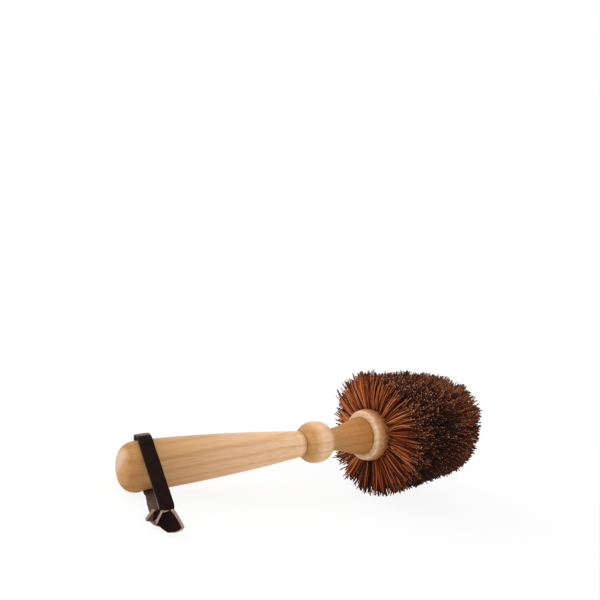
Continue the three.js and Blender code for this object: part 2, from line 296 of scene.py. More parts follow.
class Finish:
    """The nodes of one material or of the world."""

    def __init__(self, owner):
        self.owner = owner
        owner.use_nodes = True
        self.tree = owner.node_tree
        self.tree.nodes.clear()

    def node(self, kind, settings=None, sockets=None, output=0):
        """Adds a node, sets it, fills or links its sockets, and gives one of its outputs."""
        made = self.tree.nodes.new(kind)
        for name, value in (settings or {}).items():
            if name == "stops":
                # A ramp has two stops to begin with, so the first two add none.
                ramp = made.color_ramp.elements
                for place, _ in value[2:]:
                    ramp.new(place)
                for stop, (place, colour) in zip(ramp, sorted(value)):
                    stop.position = place
                    stop.color = colour
            else:
                setattr(made, name, value)
        for name, value in (sockets or {}).items():
            if isinstance(value, Wire):
                self.tree.links.new(value.socket, made.inputs[name])
            else:
                made.inputs[name].default_value = value
        return Wire(self, made.outputs[output]) if len(made.outputs) else None

    def noise(self, place, detail=3.0, roughness=0.5, distortion=0.0):
        """Noise at a scale of one, from 0 to 1."""
        return self.node("ShaderNodeTexNoise", None, {
            "Vector": place, "Scale": 1.0, "Detail": detail,
            "Roughness": roughness, "Distortion": distortion,
        }, "Fac")

    def times(self, place, along, across):
        """A place scaled along the brush and across it."""
        return self.node("ShaderNodeVectorMath", {"operation": "MULTIPLY"},
                         {0: place, 1: (along, across, across)})

    def between(self, value, low, high):
        """0 below low and 1 above high, smooth in between."""
        return self.node("ShaderNodeMapRange", {"interpolation_type": "SMOOTHSTEP"},
                         {"Value": value, "From Min": low, "From Max": high})

    def mix(self, share, first, second, blend="MIX"):
        """Two colours mixed by share."""
        return self.node("ShaderNodeMix", {"data_type": "RGBA", "blend_type": blend},
                         {0: share, 6: first, 7: second}, 2)

    def ramp(self, value, *stops):
        return self.node("ShaderNodeValToRGB", {"stops": stops}, {"Fac": value}, "Color")

    def bump(self, height, strength, depth):
        """A normal from a height, depth in millimetres."""
        return self.node("ShaderNodeBump", None,
                         {"Height": height, "Strength": strength, "Distance": depth * MM})

    def surface(self, **sockets):
        """A Principled surface as the material's own. Underscores stand for spaces."""
        named = {name.replace("_", " "): value for name, value in sockets.items()}
        shader = self.node("ShaderNodeBsdfPrincipled", None, named)
        self.node("ShaderNodeOutputMaterial", None, {"Surface": shader})
        return self.owner


def new_finish(name):
    return Finish(bpy.data.materials.new(name))


def brush_place(finish):
    """Millimetres in the brush's own frame."""
    place = finish.node("ShaderNodeTexCoord", output="Object")
    turn = Matrix.Rotation(TILT, 3, "Y")
    return finish.node("ShaderNodeMapping", {"vector_type": "POINT"}, {
        "Vector": place,
        "Location": -(turn @ BUTT) / MM,
        "Rotation": (0, TILT, 0),
        "Scale": (1 / MM, 1 / MM, 1 / MM),
    })


def handle_wood():
    """Pale turned wood: growth lines, soft streaks, fine fibre, pores and a golden neck, and
    painted light in its tone along the handle.
    """
    wood = new_finish("handle_wood")
    place = brush_place(wood)
    streak = wood.noise(wood.times(place, 0.006, 0.42), 4.0, 0.55, 0.3)
    board = wood.node("ShaderNodeVectorMath", {"operation": "DOT_PRODUCT"},
                      {0: place, 1: (-0.03, 0.25, 0.97)}, "Value")
    wander = wood.noise(wood.times(place, 0.010, 0.05), 2.0, 0.5)
    ring = wood.node("ShaderNodeMath", {"operation": "SINE"}, {0: (board + 7.0 * wander) * 0.95})
    rings = wood.between(ring, 0.20, 1.0)
    fine = wood.noise(wood.times(place, 0.045, 1.9), 3.0, 0.6)
    pore = wood.noise(wood.times(place, 0.16, 3.2), 2.0, 0.5)
    pores = wood.between(pore, 0.62, 0.74)
    station = wood.node("ShaderNodeSeparateXYZ", None, {0: place}, "X")
    # Tone along the handle, partly the wood's own and partly painted light: the grip pales from
    # the butt towards the ball as a painted sheen, the ball is golden on its near half and pale
    # on its far half as a painted highlight, the neck darkens as painted shade, and the dark line
    # at the joint is a painted shadow in the gap.
    pale = wood.ramp(station * 0.005,
                     (0.004, shade(196, 148, 96)),
                     (0.8705, shade(112, 70, 38)),
                     (0.016, shade(178, 125, 66)),
                     (0.040, shade(190, 142, 90)),
                     (0.150, shade(203, 157, 109)),
                     (0.360, shade(228, 187, 147)),
                     (0.866, shade(178, 119, 58)),
                     (0.590, shade(242, 203, 163)),
                     (0.610, shade(196, 148, 94)),
                     (0.632, shade(200, 153, 98)),
                     (0.660, shade(240, 202, 164)),
                     (0.695, shade(238, 200, 162)),
                     (0.735, shade(192, 142, 86)))
    streaks = wood.between(streak, 0.45, 0.72)
    tint = wood.mix(streaks * 0.35, pale, shade(226, 206, 184), "MULTIPLY")
    tint = wood.mix(rings * 0.50, tint, shade(234, 224, 194), "MULTIPLY")
    tint = wood.mix(wood.between(fine, 0.35, 0.75) * 0.6, tint, shade(232, 216, 198), "MULTIPLY")
    tint = wood.mix(pores * 0.30, tint, shade(160, 112, 74))
    # Painted highlight: the butt's end is paled on its far, upper side.
    side = wood.node("ShaderNodeVectorMath", {"operation": "DOT_PRODUCT"},
                     {0: place, 1: (0, 1, 0.6)}, "Value")
    butt_painted_highlight = wood.between(side, -4.0, 4.0) * (1.0 - wood.between(station, 1.0, 4.5))
    tint = wood.mix(butt_painted_highlight * 0.7, tint, shade(216, 188, 166))
    return wood.surface(
        Base_Color=tint,
        Roughness=0.5 + 0.16 * fine,
        Normal=wood.bump(fine + 0.6 * pores * -1.0, 0.25, 0.12),
        Specular_IOR_Level=0.25,
    )


def block_wood():
    """Paler pinkish wood with short flecks and end-grain mottling, and painted light and shade on
    the collar.
    """
    wood = new_finish("block_wood")
    place = brush_place(wood)
    mottle = wood.noise(wood.times(place, 0.30, 0.34), 4.0, 0.6, 0.4)
    fleck = wood.noise(wood.times(place, 0.5, 1.6), 3.0, 0.55)
    flecks = wood.between(fleck, 0.56, 0.70)
    tint = wood.ramp(mottle,
                     (0.30, shade(236, 207, 172)),
                     (0.72, shade(192, 154, 113)),
                     (0.50, shade(220, 185, 145)))
    tint = wood.mix(flecks * 0.40, tint, shade(166, 120, 88))
    station = wood.node("ShaderNodeSeparateXYZ", None, {0: place}, "X")
    # Painted highlight: the collar's face stays pale while the block beyond it is darkened.
    tint = wood.mix(wood.between(station, 174.6, 176.2), tint, shade(232, 208, 186), "MULTIPLY")
    # Painted shade: the collar darkens towards the fibres, as in their shadow.
    tint = wood.mix(wood.between(station, 175.5, 181.0), tint, shade(206, 180, 150), "MULTIPLY")
    return wood.surface(
        Base_Color=tint,
        Roughness=0.55 + 0.2 * mottle,
        Normal=wood.bump(mottle + 0.5 * fleck, 0.2, 0.15),
        Specular_IOR_Level=0.35,
    )


def plant_fibre():
    """Stiff brown fibre, darkened towards its tips as painted shade. The map holds each fibre's
    tone across and its length up.
    """
    fibre = new_finish("plant_fibre")
    laid = fibre.node("ShaderNodeUVMap", {"uv_map": FIBRE_MAP})
    tone = fibre.node("ShaderNodeSeparateXYZ", None, {0: laid}, "X")
    along = fibre.node("ShaderNodeSeparateXYZ", None, {0: laid}, "Y")
    tint = fibre.ramp(tone,
                      (0.00, shade(36, 15, 10)),
                      (1.00, shade(206, 134, 84)),
                      (0.30, shade(74, 32, 18)),
                      (0.60, shade(142, 64, 31)),
                      (0.86, shade(190, 98, 50)))
    # Painted shade: the outer part of each fibre darkens, standing in for the shade among the
    # fibre ends.
    darker = fibre.between(along, 0.66, 0.93) * 0.74
    tint = fibre.mix(darker, tint, shade(34, 15, 10))
    end_tint = fibre.ramp(tone,
                          (0.08, shade(44, 22, 15)),
                          (0.85, shade(224, 174, 136)),
                          (0.25, shade(96, 56, 39)),
                          (0.50, shade(170, 116, 84)))
    tint = fibre.mix(fibre.between(along, 0.972, 0.976), tint, end_tint)
    return fibre.surface(
        Base_Color=tint,
        Roughness=0.6 + 0.25 * along,
        Specular_IOR_Level=0.15,
    )


def leather_grain():
    """The strap's dark outer side: a fine pebble with a dull shine, and a painted highlight along
    its fold.
    """
    hide = new_finish("thong_leather_grain")
    place = brush_place(hide)
    broad = hide.noise(hide.times(place, 0.28, 0.28), 3.0, 0.55)
    pebble = hide.node("ShaderNodeTexVoronoi", {"feature": "F1"},
                       {"Vector": hide.times(place, 1.9, 1.9), "Scale": 1.0}, "Distance")
    crease = hide.noise(hide.times(place, 1.1, 1.1), 4.0, 0.6)
    tint = hide.ramp(broad, (0.3, shade(20, 8, 6)), (0.75, shade(31, 14, 11)))
    tint = hide.mix(hide.between(crease, 0.55, 0.8) * 0.3, tint, shade(50, 28, 22))
    up = hide.node("ShaderNodeVectorMath", {"operation": "DOT_PRODUCT"},
                   {0: place, 1: HOLE_UP}, "Value")
    # Painted highlight: a grey band along the top of the strap's fold.
    tint = hide.mix(hide.between(up, 14.4, 16.0) * 0.85, tint, shade(136, 112, 107))
    return hide.surface(
        Base_Color=tint,
        Roughness=0.5 + 0.2 * crease,
        Normal=hide.bump(pebble + 0.6 * crease, 0.25, 0.1),
        Specular_IOR_Level=0.05,
    )


def leather_flesh():
    """The strap's grey-brown inner side, matt and fibrous."""
    hide = new_finish("thong_leather_flesh")
    place = brush_place(hide)
    nap = hide.noise(hide.times(place, 0.9, 0.9), 5.0, 0.65)
    broad = hide.noise(hide.times(place, 0.2, 0.2), 3.0, 0.5)
    tint = hide.ramp(nap, (0.3, shade(62, 48, 41)), (0.72, shade(112, 90, 76)))
    tint = hide.mix(hide.between(broad, 0.4, 0.7) * 0.5, tint, shade(74, 56, 46))
    return hide.surface(
        Base_Color=tint,
        Roughness=0.82 + 0.14 * nap,
        Normal=hide.bump(nap, 0.5, 0.25),
        Specular_IOR_Level=0.2,
    )


def leather_edge():
    """The strap's cut edge, dark by the handle and raw tan at the knot."""
    hide = new_finish("thong_leather_edge")
    place = brush_place(hide)
    nap = hide.noise(hide.times(place, 1.3, 1.3), 4.0, 0.6)
    side = hide.node("ShaderNodeSeparateXYZ", None, {0: place}, "Y")
    raw = hide.ramp(nap, (0.3, shade(112, 88, 74)), (0.72, shade(184, 154, 136)))
    tint = hide.mix(hide.between(side * -1.0, 30.0, 42.0), shade(64, 46, 40), raw)
    return hide.surface(
        Base_Color=tint,
        Roughness=0.75 + 0.2 * nap,
        Normal=hide.bump(nap, 0.4, 0.2),
        Specular_IOR_Level=0.2,
    )


# Camera.
def place_camera():
    lens = bpy.data.cameras.new("brush_camera")
    lens.sensor_width = CAMERA_SENSOR
    lens.lens = CAMERA_LENS
    lens.clip_start = 0.01
    camera = bpy.data.objects.new("brush_camera", lens)
    up = CAMERA_BACK.cross(CAMERA_RIGHT)
    turn = Matrix((CAMERA_RIGHT, up, CAMERA_BACK)).transposed()
    camera.rotation_mode = "QUATERNION"
    camera.rotation_quaternion = turn.to_quaternion()
    camera.location = CAMERA_PLACE
    bpy.context.scene.collection.objects.link(camera)
    bpy.context.scene.camera = camera


# Thong.
def loop_line():
    """The strap's middle line, as out from the hole, up along it and across the strap: from
    the middle of the hole over the grip, down to the knot, round in it, and back by the
    lower strand into the hole."""
    lean = math.acos(LOOP_RADIUS / UPPER_END.xy.length)
    leave = math.atan2(UPPER_END.y, UPPER_END.x) + lean
    meet = math.radians(50)
    on_grip = [
        Vector((math.cos(angle) * LOOP_RADIUS, math.sin(angle) * LOOP_RADIUS, 0.8))
        for angle in (meet + (leave - meet) * step / 8 for step in range(9))
    ]
    past_fold = Vector((3.2, FOLD_HEIGHT, 0.8))
    along_grip = Vector((math.sin(meet), -math.cos(meet), 0)) * 3.2
    low_bend = Vector((4.6, -1.9 - GRIP_RADIUS, -1.0))
    enter = on_grip[-1].lerp(UPPER_END, 0.84)
    into_knot = (UPPER_END - on_grip[-1]).normalized() * 8
    out_of_knot = (LOWER_END - low_bend).normalized() * 4.5
    line = [Vector((0, height, 0.7)) for height in (1.6, 5.5, 10, GRIP_RADIUS)]
    fold = [line[-1], (0, FOLD_HEIGHT + 0.2, 0.7), (1.2, FOLD_HEIGHT + 0.1, 0.8), past_fold]
    line += bezier(fold, 6)
    past_end = past_fold + Vector((3, 0, 0))
    line += bezier([past_fold, past_end, on_grip[0] - along_grip, on_grip[0]], 6)
    line += on_grip[1:]
    line += bezier([on_grip[-1], enter], 18)
    line += bezier([enter, enter + into_knot, LOWER_END + out_of_knot, LOWER_END], 12)
    line += bezier([LOWER_END, low_bend], 12)
    line += bezier([low_bend, (1.4, -1 - GRIP_RADIUS, -0.9), (0, 0.4 - GRIP_RADIUS, -0.8),
                    (0, 3 - GRIP_RADIUS, -0.7)], 6)
    line += [Vector((0, height, -0.7)) for height in (-7, -3, 1.2)]
    return line


def loop_point(point):
    """A point given as out from the hole, up along it and across the strap, in metres."""
    place = LOOP_OUT * point.x + HOLE_UP * point.y + LOOP_ACROSS * point.z
    return TO_ROW @ (place + Vector((HOLE_STATION, 0, 0)))


def finish_strap(piece, thickness):
    """Gives a sheet of leather its thickness, with tan rims and softened corners."""
    wall = piece.modifiers.new("leather_thickness", "SOLIDIFY")
    wall.thickness = thickness * MM
    wall.offset = 0.0
    wall.use_even_offset = True
    wall.material_offset = 1
    wall.material_offset_rim = 2
    soft = piece.modifiers.new("soft_corners", "BEVEL")
    soft.width = STRAP_CORNER * MM
    soft.segments = 2
    soft.limit_method = "ANGLE"
    soft.angle_limit = math.radians(50)
    piece.data = evaluated_mesh(piece)
    piece.modifiers.clear()
    smooth(piece.data, 40)


def make_strap(leathers):
    """A flat strap laid along the loop line. Its grain side is outside the loop."""
    line = loop_line()
    shape = bmesh.new()
    bmesh.ops.create_grid(shape, x_segments=len(line) - 1, y_segments=STRAP_GRID, size=0.5)
    for vert in shape.verts:
        step = round((vert.co.x + 0.5) * (len(line) - 1))
        side = vert.co.y * STRAP_WIDTH
        before = line[max(0, step - 1)]
        after = line[min(len(line) - 1, step + 1)]
        along = (after - before).normalized()
        outward = Vector((-along.y, along.x, 0))
        hollow = STRAP_HOLLOW * (1 - (2 * vert.co.y) ** 2)
        ragged = 1 + EDGE_WAVE * math.sin(step * 1.7) + EDGE_RIPPLE * math.sin(step * 0.63 + 2)
        outside = min(1.0, max(0.0, (line[step].x - 4) / 10))
        ragged += WIDER_OUTSIDE * outside - NARROWER_IN_HOLE
        vert.co = loop_point(line[step] + outward * hollow + Vector((0, 0, side * ragged)))
    bmesh.ops.recalc_face_normals(shape, faces=shape.faces)
    top = max(shape.faces, key=lambda face: face.calc_center_median().z)
    if top.normal.z < 0:
        bmesh.ops.reverse_faces(shape, faces=shape.faces)
    mesh = bpy.data.meshes.new("thong_strap")
    shape.to_mesh(mesh)
    shape.free()
    strap = link("thong_strap", mesh, leathers)
    finish_strap(strap, STRAP_THICKNESS)
    return strap, [loop_point(point) for point in line]


# Knot: leather flaps given by their upper and lower edges in the row frame, in millimetres.
# The wide flap is creased down its middle.
KNOT_FLAPS = [
    {"upper": [(-131.7, -40.2, 7.6), (-127.4, -39.8, 6.0)],
     "lower": [(-136.8, -43.4, 3.2), (-131.4, -44.1, 1.8)],
     "turned": (1.0, 0.3, 0.8), "grain_shows": False},
    {"upper": [(-131.5, -48.0, 10.2), (-127.4, -46.0, 9.6), (-124.1, -45.8, 10.4)],
     "lower": [(-135.1, -51.0, 4.6), (-132.3, -50.1, 3.2), (-130.1, -51.2, 1.9),
               (-128.4, -53.6, 1.2), (-125.7, -55.4, 2.4), (-123.8, -56.8, 4.4),
               (-123.0, -57.2, 6.6)],
     "turned": (-0.4, 1.8, 1.3), "grain_shows": True},
]
# How tightly a flap's sides, top and foot curl, and how far its foot turns from side to side.
SIDE_CURL = 14
TOP_CURL = 7
FOOT_CURL = 8
FOOT_RISE = 3.2
FOOT_DROP = 2.2
KNOT_MIDDLE = Vector((-126.4, -43.0, 4.2))
KNOT_CORE = Vector((-126.8, -44.4, 4.5))
KNOT_CORE_RADII = Vector((4.8, 4.4, 3.7))
KNOT_WRAPS = [
    {"axis": Vector((-0.05, -0.92, -0.38)), "radii": (5.4, 3.2), "width": 5.0},
    {"axis": Vector((0.80, -0.45, 0.25)), "radii": (4.2, 3.2), "width": 6.0},
]


def edge_point(edge, share):
    """A point of a flap's edge, by its share of the way along."""
    place = share * (len(edge) - 1)
    first = min(int(place), len(edge) - 2)
    return Vector(edge[first]).lerp(Vector(edge[first + 1]), place - first)


def add_flap(shape, upper, lower, turned, grain_shows):
    """A sheet of leather between two edges. Its sides, its top and its foot are turned."""
    left, right, top = turned
    made = bmesh.ops.create_grid(shape, x_segments=12, y_segments=8, size=0.5)["verts"]
    for vert in made:
        across = vert.co.x + 0.5
        down = vert.co.y + 0.5
        place = edge_point(upper, across).lerp(edge_point(lower, across), down)
        rim = left * (1 - across) ** SIDE_CURL + right * across ** SIDE_CURL
        rim += top * (1 - down) ** TOP_CURL
        rim += (FOOT_RISE * across - FOOT_DROP) * down ** FOOT_CURL
        vert.co = (place + CAMERA_BACK * rim) * MM
    faces = list({face for vert in made for face in vert.link_faces})
    bmesh.ops.recalc_face_normals(shape, faces=faces)
    if (faces[0].normal.dot(CAMERA_BACK) > 0) != grain_shows:
        bmesh.ops.reverse_faces(shape, faces=faces)


def add_wrap(shape, axis, radii, width):
    """A closed turn of strap round the two strands."""
    turn = axis.to_track_quat("Z", "Y").to_matrix()
    ring = bmesh.ops.create_cone(shape, cap_ends=False, segments=40,
                                 radius1=1, radius2=1, depth=width)
    for vert in ring["verts"]:
        local = Vector((vert.co.x * radii[0], vert.co.y * radii[1], vert.co.z))
        vert.co = (turn @ local + KNOT_MIDDLE) * MM


def make_knot(leathers):
    """Two flaps and two turns of strap round a filled core, pressed up from the floor."""
    shape = bmesh.new()
    for flap in KNOT_FLAPS:
        add_flap(shape, **flap)
    for wrap in KNOT_WRAPS:
        add_wrap(shape, **wrap)
    mesh = bpy.data.meshes.new("thong_knot_tied")
    shape.to_mesh(mesh)
    shape.free()
    knot = link("thong_knot_tied", mesh, leathers)
    finish_strap(knot, KNOT_THICKNESS)
    shape = bmesh.new()
    shape.from_mesh(knot.data)
    core = bmesh.ops.create_uvsphere(shape, u_segments=24, v_segments=16, radius=1)["verts"]
    place = Matrix.Translation(KNOT_CORE * MM) @ Matrix.Diagonal(KNOT_CORE_RADII * MM).to_4x4()
    bmesh.ops.transform(shape, matrix=place, verts=core)
    for face in {face for vert in core for face in vert.link_faces}:
        face.smooth = True
    for vert in shape.verts:
        vert.co.z = max(vert.co.z, KNOT_LOWEST)
    shape.to_mesh(knot.data)
    shape.free()
    return knot


# Handle and block.
def rounded(profile, radius):
    """A profile of (station, radius) points with each sharp corner cut round."""
    made = [profile[0]]
    for before, corner, after in zip(profile, profile[1:], profile[2:]):
        into, out = corner - before, after - corner
        if into.length > 1e-6 and out.length > 1e-6 and into.angle(out) > SHARP_CORNER:
            reach = min(radius, CORNER_SHARE * into.length, CORNER_SHARE * out.length)
            start = corner - into.normalized() * reach
            made.append(start)
            made += bezier([start, corner, corner + out.normalized() * reach], CORNER_STEPS)
        else:
            made.append(corner)
    made.append(profile[-1])
    return made


def turn_on_lathe(profile, steps):
    """A bmesh turned from a profile of (station, radius) points."""
    shape = bmesh.new()
    verts = [shape.verts.new((point.x, 0, point.y)) for point in profile]
    edges = [shape.edges.new(pair) for pair in zip(verts, verts[1:])]
    bmesh.ops.spin(shape, geom=verts + edges, axis=(1, 0, 0), cent=(0, 0, 0),
                   angle=2 * math.pi, steps=steps, use_merge=True)
    bmesh.ops.remove_doubles(shape, verts=shape.verts, dist=0.001)
    bmesh.ops.recalc_face_normals(shape, faces=shape.faces)
    return shape


def handle_profile():
    profile = [Vector((BUTT_START, 0))]
    for step in range(1, BUTT_STEPS + 1):
        along = 1 - math.cos(step / BUTT_STEPS * math.pi / 2)
        radius = GRIP_RADIUS * swell(1 - along, BUTT_POWER)
        profile.append(Vector((BUTT_START + BUTT_LENGTH * along, radius)))
    profile += bezier([profile[-1], (TAPER_START, GRIP_RADIUS)], 5)
    profile += bezier([profile[-1], ((TAPER_START + GRIP_END) / 2, TAPER_MIDDLE_RADIUS),
                       (GRIP_END, GRIP_END_RADIUS)], GRIP_STEPS)
    ball_edge = BALL_HALF_LENGTH * swell(GROOVE_RADIUS / BALL_RADIUS, BALL_POWER)
    neck_edge = BALL_HALF_LENGTH * swell(NECK_RADIUS / BALL_RADIUS, BALL_POWER)
    profile.append(Vector((GRIP_END + GAP, GROOVE_RADIUS)))
    for step in range(BALL_STEPS + 1):
        turn = math.pi * (BALL_START_TURN + (1 - 2 * BALL_START_TURN) * step / BALL_STEPS)
        full = -math.cos(turn) / math.cos(math.pi * BALL_START_TURN)
        along = full * (ball_edge if full < 0 else neck_edge)
        radius = BALL_RADIUS * swell(along / BALL_HALF_LENGTH, BALL_POWER)
        profile.append(Vector((BALL_STATION + along, radius)))
    neck_start = BALL_STATION + neck_edge
    profile.append(Vector((neck_start + GAP, NECK_RADIUS)))
    profile += bezier([profile[-1], (neck_start + NECK_STRAIGHT, NECK_RADIUS + NECK_SWELL),
                       (JOINT_STATION - FLARE_LENGTH, JOINT_RADIUS - FLARE_DROP),
                       (JOINT_STATION, JOINT_RADIUS)], NECK_STEPS)
    profile += [Vector((JOINT_STATION, TENON_RADIUS)),
                Vector((JOINT_STATION + TENON_LENGTH, TENON_RADIUS)),
                Vector((JOINT_STATION + TENON_LENGTH, 0))]
    return rounded(profile, HANDLE_EDGE)


def hole_cutter():
    """The bit that bores the thong hole, wider at its mouths to ease their edges."""
    half = [Vector((0, HOLE_RADIUS))]
    half += [Vector((far, HOLE_RADIUS + wider)) for far, wider in HOLE_MOUTH]
    half.append(Vector((HOLE_BIT_END, 0)))
    profile = [Vector((-point.x, point.y)) for point in reversed(half)] + half[1:]
    shape = turn_on_lathe(profile, HOLE_SIDES)
    up = Vector((1, 0, 0)).rotation_difference(HOLE_UP).to_matrix().to_4x4()
    place = TO_ROW @ Matrix.Translation((HOLE_STATION, 0, 0)) @ up
    bmesh.ops.transform(shape, matrix=place, verts=shape.verts)
    mesh = bpy.data.meshes.new("hole_bit")
    shape.to_mesh(mesh)
    shape.free()
    return link("hole_bit", mesh, [])


def turned_piece(name, profile, steps, wood):
    shape = turn_on_lathe(profile, steps)
    bmesh.ops.transform(shape, matrix=TO_ROW, verts=shape.verts)
    mesh = bpy.data.meshes.new(name)
    shape.to_mesh(mesh)
    shape.free()
    return link(name, mesh, [wood])


def make_handle(wood):
    handle = turned_piece("turned_handle", handle_profile(), HANDLE_SIDES, wood)
    bit = hole_cutter()
    bore = handle.modifiers.new("thong_hole", "BOOLEAN")
    bore.operation = "DIFFERENCE"
    bore.solver = "EXACT"
    bore.object = bit
    handle.data = evaluated_mesh(handle)
    handle.modifiers.clear()
    bpy.data.objects.remove(bit)
    smooth(handle.data, 32)
    return handle


def make_block(wood):
    face = JOINT_STATION + GAP
    socket_end = JOINT_STATION + TENON_LENGTH + GAP
    profile = [Vector((socket_end, 0)), Vector((socket_end, TENON_RADIUS + GAP)),
               Vector((face, TENON_RADIUS + GAP)), Vector((face, COLLAR_FACE_RADIUS))]
    collar = [profile[-1], (face + 0.4, COLLAR_RADIUS - 0.6), (COLLAR_END - 1, COLLAR_RADIUS)]
    profile += bezier(collar, COLLAR_STEPS)
    profile += [Vector((COLLAR_END, COLLAR_RADIUS)), Vector((COLLAR_END + 0.5, SKIN_RADIUS)),
                Vector((SPINDLE_END + GAP, SKIN_RADIUS))]
    for step in range(1, DOME_STEPS + 1):
        angle = step / DOME_STEPS * math.pi / 2
        profile.append(Vector((SPINDLE_END + GAP + DOME_HEIGHT * math.sin(angle),
                               SKIN_RADIUS * math.cos(angle) if step < DOME_STEPS else 0.0)))
    block = turned_piece("drilled_block", rounded(profile, BLOCK_EDGE), BLOCK_SIDES, wood)
    smooth(block.data, 35)
    return block


# Fibre.
def head_radius(station):
    if station < HEAD_FRONT:
        front = max(0.0, (station - HEAD_BACK) / (HEAD_FRONT - HEAD_BACK))
        return HEAD_BACK_RADIUS + (HEAD_FRONT_RADIUS - HEAD_BACK_RADIUS) * front
    front = min(1.0, (station - HEAD_FRONT) / (HEAD_END - HEAD_FRONT))
    return HEAD_FRONT_RADIUS * swell(front, HEAD_POWER)


def head_middle(station):
    """The middle of the head's outline, which lies a little higher towards its end."""
    rise = HEAD_RISE * max(0.0, (station - HEAD_BACK) / (HEAD_END - HEAD_BACK))
    return Vector((station, 0, rise))


def length_to_outline(root, direction):
    """How far a straight fibre goes from its root to the head's outline."""
    inside, outside = 0.0, LONGEST_FIBRE
    for _ in range(18):
        middle = (inside + outside) / 2
        point = root + direction * middle
        from_middle = (point - head_middle(point.x)).length
        if point.x < HEAD_END and from_middle < head_radius(point.x):
            inside = middle
        else:
            outside = middle
    return inside


def tuft_tone(row, outward):
    """Fibres are paler on the top and on the far side as painted light. Near the collar they are
    darker below as painted shade; further on they are paler below as painted light.
    """
    top = ROW_PALE_TOPS[row] * max(outward.z - PALE_TOP_START, 0)
    far = PALE_FAR_SIDE * max(outward.y, 0)
    under = -DARK_UNDER if row in DARK_UNDER_ROWS else PALE_UNDER
    return ROW_TONES[row] + top + far + under * max(-outward.z, 0)


def row_tufts(rows):
    """(root, direction, tone, dark tip) of every tuft of these rows round the block."""
    made = []
    for row in rows:
        station = FIRST_ROW + row * ROW_PITCH
        tip_station = FIRST_ROW_TIP + (LAST_ROW_TIP - FIRST_ROW_TIP) * row / (ROW_COUNT - 1)
        for order in range(TUFTS_PER_ROW):
            around = (order + 0.5 * (row % 2)) / TUFTS_PER_ROW * 2 * math.pi
            outward = Vector((0, math.cos(around), math.sin(around)))
            root = outward * (SKIN_RADIUS - ROOT_DEPTH) + Vector((station, 0, 0))
            lean = NEAR_LEAN * max(-outward.y, 0)
            lean += FAR_LEAN * max(outward.y, 0) ** FAR_LEAN_POWER
            leaning = tip_station + lean * max(1 - row / LEANING_ROWS, 0)
            tip = outward * head_radius(leaning) + head_middle(leaning)
            # Painted shade on the tips, stronger on the far side and on top.
            darker = FAR_DARK_TIPS * max(outward.y, 0) + TOP_DARK_TIPS * max(outward.z, 0)
            dark_tip = ROW_DARK_TIPS[row] + (1 - ROW_DARK_TIPS[row]) * min(darker, 1)
            made.append((root, (tip - root).normalized(), tuft_tone(row, outward), dark_tip))
    return made


# Rings of tufts on the domed end: how many, and the radius of their roots and of their tips.
END_RINGS = [(10, 12.4, 28.5), (5, 6.2, 14.5), (1, 0.0, 0.0)]


def end_tufts():
    """(root, direction, tone, dark tip) of the tufts on the block's domed end."""
    made = []
    for order, (tufts, root_radius, tip_radius) in enumerate(END_RINGS):
        for number in range(tufts):
            around = (number + 0.5 * order) / tufts * 2 * math.pi
            outward = Vector((0, math.cos(around), math.sin(around)))
            rise = DOME_HEIGHT * swell(root_radius / SKIN_RADIUS, 2) - ROOT_DEPTH
            root = outward * root_radius + Vector((SPINDLE_END + GAP + rise, 0, 0))
            depth = swell(tip_radius / HEAD_FRONT_RADIUS, HEAD_POWER)
            tip_station = HEAD_FRONT + (HEAD_END - HEAD_FRONT) * depth
            tip = outward * tip_radius + head_middle(tip_station)
            tone = tuft_tone(-1, outward)
            made.append((root, (tip - root).normalized(), tone, ROW_DARK_TIPS[-1]))
    return made


def above_floor(point):
    """A point of the brush in metres where it lies, pressed up where it is below the floor."""
    placed = TO_ROW @ point
    placed.z = max(placed.z, FIBRE_LOWEST)
    return placed


def head_dent(heading):
    """How much longer or shorter a fibre is cut than the round shape of the head."""
    return sum(far * max(0, (heading.dot(toward) - start) / (1 - start))
               for toward, far, start in HEAD_DENTS)


def tuft_fibres(root, direction, usual_tone):
    """The fibres of one tuft: a list of points from root to tip, and a tone, for each."""
    tuft_cut = chance.gauss(0, TUFT_CUT) + head_dent(direction)
    along = Vector((1, 0, 0)) - direction * direction.x
    if along.length < 0.05:
        along = Vector((0, 1, 0))
    along.normalize()
    around = direction.cross(along)
    reach = length_to_outline(root, direction)
    fan = FAN_ALONG_AT_FRONT if root.x > SPINDLE_END - ROW_PITCH else FAN_ALONG
    tuft_tone_here = usual_tone + chance.gauss(0, TUFT_TONE_SPREAD)
    middle_tone = min(PALEST_TUFT, max(DARKEST_TUFT, tuft_tone_here)) * TONE_SPREAD
    made = []
    for _ in range(FIBRES_PER_TUFT):
        turn = chance.uniform(0, 2 * math.pi)
        out = math.sqrt(chance.random())
        sideways = along * math.cos(turn) * out
        crosswise = around * math.sin(turn) * out
        start = root + (sideways + crosswise) * TUFT_RADIUS
        spread = sideways * fan + crosswise * FAN_AROUND
        stray = Vector((chance.gauss(0, 1), chance.gauss(0, 1), chance.gauss(0, 1)))
        straying = WILD_STRAY if chance.random() < WILD_SHARE else STRAY
        aim = root + direction * reach + spread + stray * straying
        heading = (aim - start).normalized()
        length = length_to_outline(start, heading) + tuft_cut + chance.gauss(0, FIBRE_CUT)
        length -= SHORTEST_CUT * chance.random() ** 2
        bend = stray.cross(heading) * FIBRE_BEND
        points = []
        for step in range(FIBRE_RINGS):
            share = step / (FIBRE_RINGS - 1)
            bow = bend * 4 * share * (1 - share)
            points.append(above_floor(start + heading * (length * share) + bow))
        tone = chance.betavariate(middle_tone, TONE_SPREAD - middle_tone)
        made.append((points, tone))
    return made


def close_fibres(mesh):
    """Puts a flat end on both ends of every fibre."""
    shape = bmesh.new()
    shape.from_mesh(mesh)
    rims = [edge for edge in shape.edges if edge.is_boundary]
    bmesh.ops.holes_fill(shape, edges=rims, sides=FIBRE_SIDES)
    bmesh.ops.recalc_face_normals(shape, faces=shape.faces)
    shape.to_mesh(mesh)
    shape.free()
    while mesh.uv_layers:
        mesh.uv_layers.remove(mesh.uv_layers[0])


